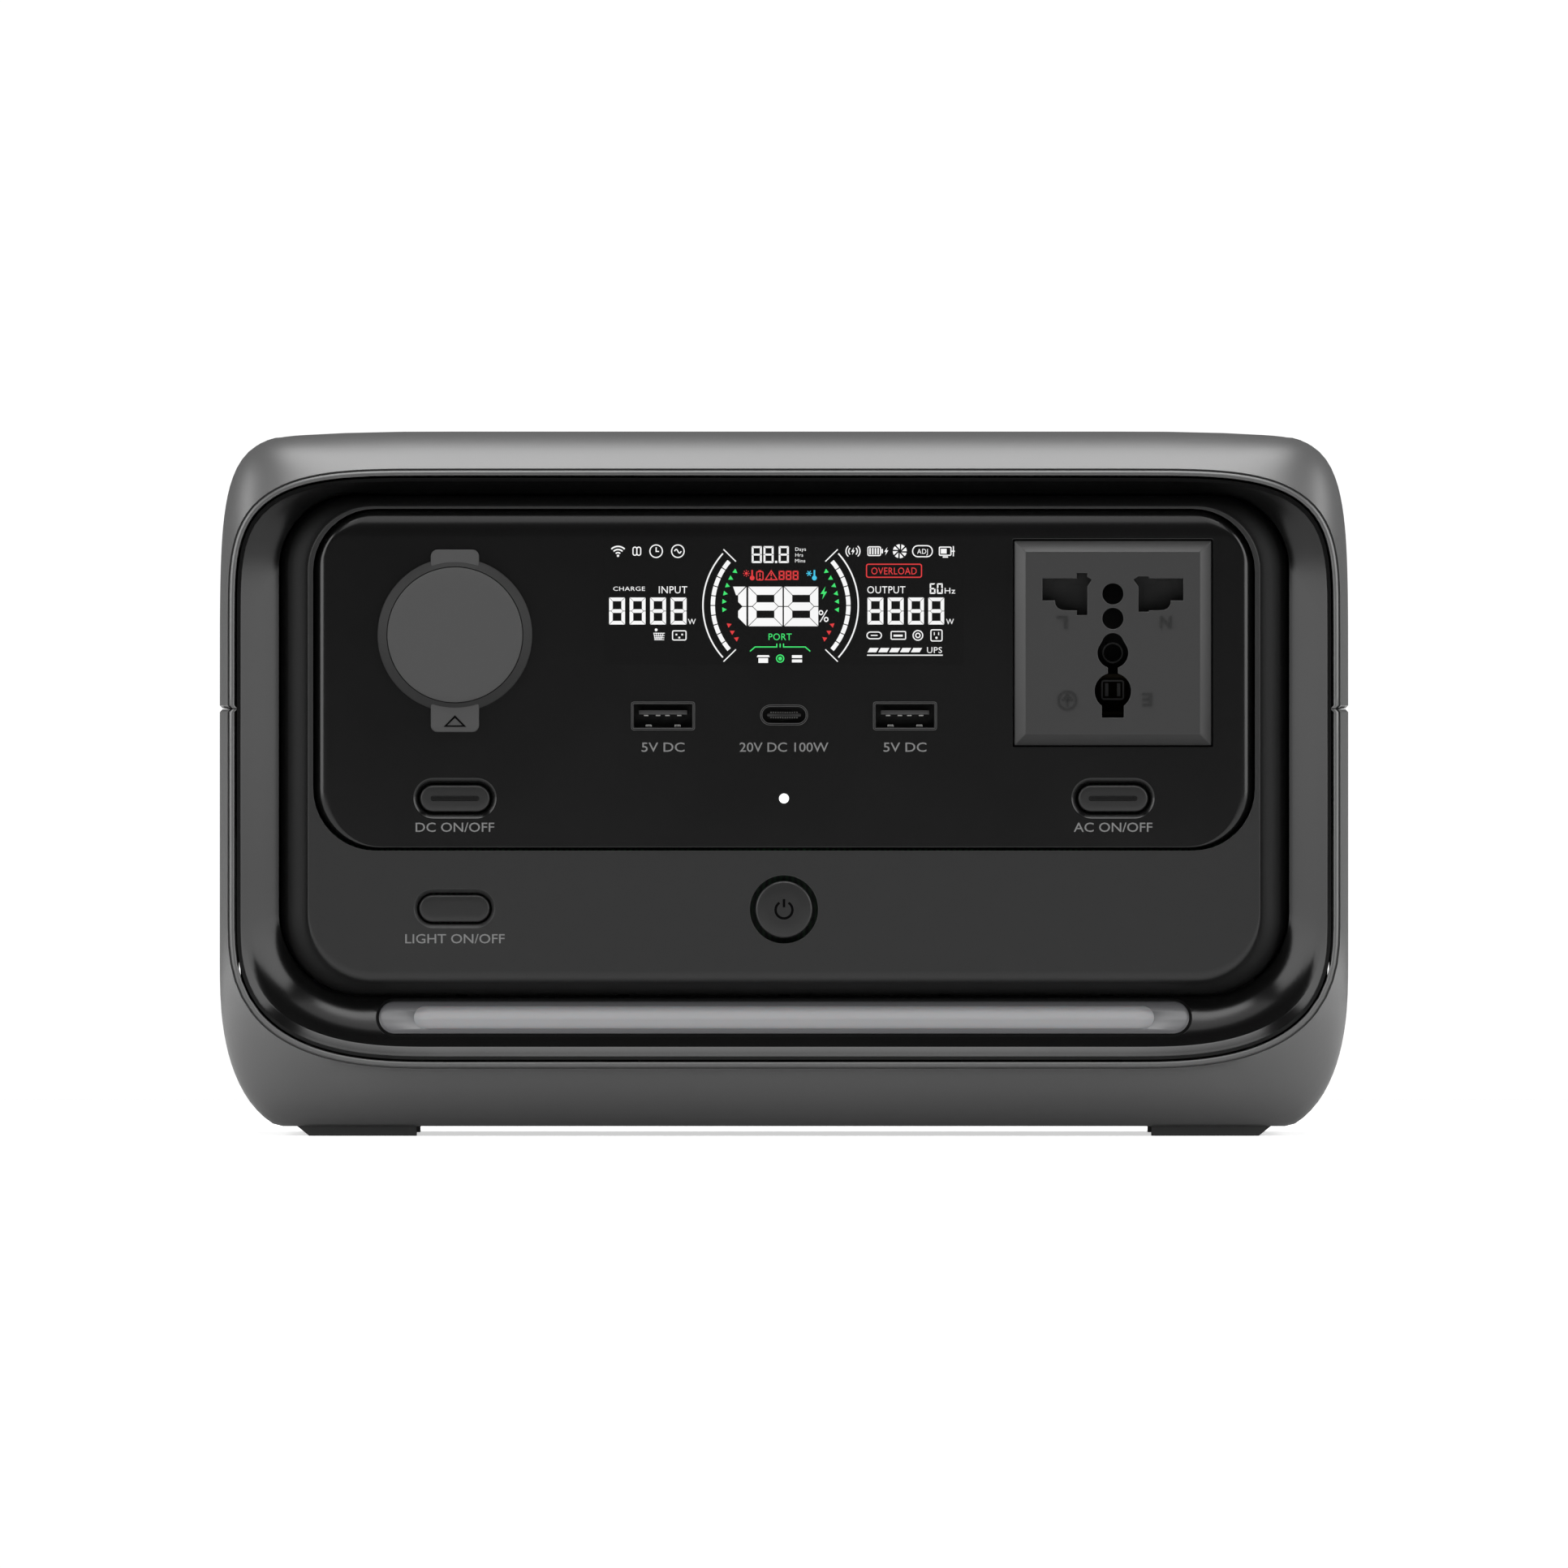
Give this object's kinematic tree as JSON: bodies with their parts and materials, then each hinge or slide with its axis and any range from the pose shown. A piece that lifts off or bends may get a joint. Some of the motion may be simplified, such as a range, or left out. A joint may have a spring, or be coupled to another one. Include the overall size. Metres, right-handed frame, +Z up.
{
  "type": "portable power station",
  "caption": "Box-shaped portable power station with a display, buttons, charging ports, car socket and mains outlet on a recessed front, a light bar, side vents and a rear carry handle.",
  "frame": {"origin": "centre of the bounding box on the surface the feet stand on", "axes": "+X right, +Y back, away from the control panel, +Z up"},
  "size_m": [0.2344, 0.232, 0.1461],
  "materials": {
    "grey_shell_plastic": "fine moulded grain",
    "black_grained_plastic": "fine moulded grain",
    "black_gloss_plastic": "polished",
    "black_inner_plastic": "moulded",
    "dark_grey_outlet_plastic": "fine moulded grain",
    "milky_light_plastic": "satin, milky",
    "dark_rubber": "satin",
    "plated_steel": "nickel plated",
    "contact_brass": "bright",
    "green_circuit_board": "solder mask",
    "bare_aluminium": "extruded",
    "taped_transformer": "taped winding",
    "label_ink": "printed",
    "display_white": "lit",
    "display_green": "lit",
    "display_red": "lit",
    "display_blue": "lit"
  },
  "bodies": {
    "case": {"ac_inlet_housing": "black_inner_plastic", "ac_inlet_pin_earth": "plated_steel", "ac_inlet_pin_live": "plated_steel", "ac_inlet_pin_neutral": "plated_steel", "battery_board": "green_circuit_board", "car_socket_barrel": "plated_steel", "car_socket_contact": "contact_brass", "carry_handle": "grey_shell_plastic", "cell_1": "bare_aluminium", "cell_2": "bare_aluminium", "cell_3": "bare_aluminium", "cell_4": "bare_aluminium", "cell_5": "bare_aluminium", "cell_6": "bare_aluminium", "cell_holder_front": "black_inner_plastic", "cell_holder_rear": "black_inner_plastic", "expansion_port_cover": "black_grained_plastic", "fan_frame": "black_inner_plastic", "fascia_panel": "black_grained_plastic", "foot_front_left": "dark_rubber", "foot_front_right": "dark_rubber", "foot_rear_left": "dark_rubber", "foot_rear_right": "dark_rubber", "front_bezel": "black_gloss_plastic", "front_board": "green_circuit_board", "gloss_panel": "black_gloss_plastic", "heat_sink": "bare_aluminium", "inverter_board": "green_circuit_board", "lcd_module": "black_inner_plastic", "light_bar_board": "green_circuit_board", "light_bar_diffuser": "milky_light_plastic", "lower_shell": "grey_shell_plastic", "outlet_contact_earth": "contact_brass", "outlet_contact_live": "contact_brass", "outlet_contact_neutral": "contact_brass", "outlet_face": "dark_grey_outlet_plastic", "outlet_housing": "black_inner_plastic", "oval_port_sleeve": "plated_steel", "oval_port_tongue": "black_inner_plastic", "rear_panel": "black_grained_plastic", "side_vent_left": "black_grained_plastic", "side_vent_right": "black_grained_plastic", "solar_inlet_housing": "black_inner_plastic", "solar_inlet_pin_left": "contact_brass", "solar_inlet_pin_right": "contact_brass", "status_light_pipe": "milky_light_plastic", "transformer": "taped_transformer", "upper_shell": "grey_shell_plastic", "wide_port_sleeve_left": "plated_steel", "wide_port_sleeve_right": "plated_steel", "wide_port_tongue_left": "black_inner_plastic", "wide_port_tongue_right": "black_inner_plastic"},
    "ac_button": {"ac_button": "black_grained_plastic"},
    "car_socket_cap": {"car_socket_cap": "dark_rubber"},
    "dc_button": {"dc_button": "black_grained_plastic"},
    "fan_rotor": {"fan_rotor": "black_inner_plastic"},
    "input_cover": {"input_cover": "dark_rubber"},
    "light_button": {"light_button": "black_grained_plastic"},
    "outlet_shutter": {"outlet_shutter": "black_inner_plastic"},
    "power_button": {"power_button": "black_grained_plastic"}
  },
  "joints": [
    {"name": "power_button_press", "type": "slide", "parent": "case", "child": "power_button", "axis": [0, 1, 0], "range_m": [0, 0.0008], "stiffness_N_per_m": 1500, "springref_m": -0.0006},
    {"name": "light_button_press", "type": "slide", "parent": "case", "child": "light_button", "axis": [0, 1, 0], "range_m": [0, 0.0008], "stiffness_N_per_m": 1500, "springref_m": -0.0006},
    {"name": "dc_button_press", "type": "slide", "parent": "case", "child": "dc_button", "axis": [0, 1, 0], "range_m": [0, 0.0008], "stiffness_N_per_m": 1500, "springref_m": -0.0006},
    {"name": "ac_button_press", "type": "slide", "parent": "case", "child": "ac_button", "axis": [0, 1, 0], "range_m": [0, 0.0008], "stiffness_N_per_m": 1500, "springref_m": -0.0006},
    {"name": "car_socket_cap_hinge", "type": "hinge", "parent": "case", "child": "car_socket_cap", "pos_m": [-0.0682, -0.1136, 0.1215], "axis": [-1, 0, 0], "range_deg": [0, 115], "stiffness_Nm_per_rad": 0.003},
    {"name": "input_cover_hinge", "type": "hinge", "parent": "case", "child": "input_cover", "pos_m": [-0.045, 0.0764, 0.0964], "axis": [1, 0, 0], "range_deg": [0, 105], "stiffness_Nm_per_rad": 0.003},
    {"name": "outlet_shutter_slide", "type": "slide", "parent": "case", "child": "outlet_shutter", "axis": [0, 0, -1], "range_m": [0, 0.009], "stiffness_N_per_m": 60, "springref_m": -0.004},
    {"name": "fan_spin", "type": "hinge", "parent": "case", "child": "fan_rotor", "pos_m": [0.06, 0.0647, 0.08], "axis": [0, 1, 0], "continuous": true}
  ]
}
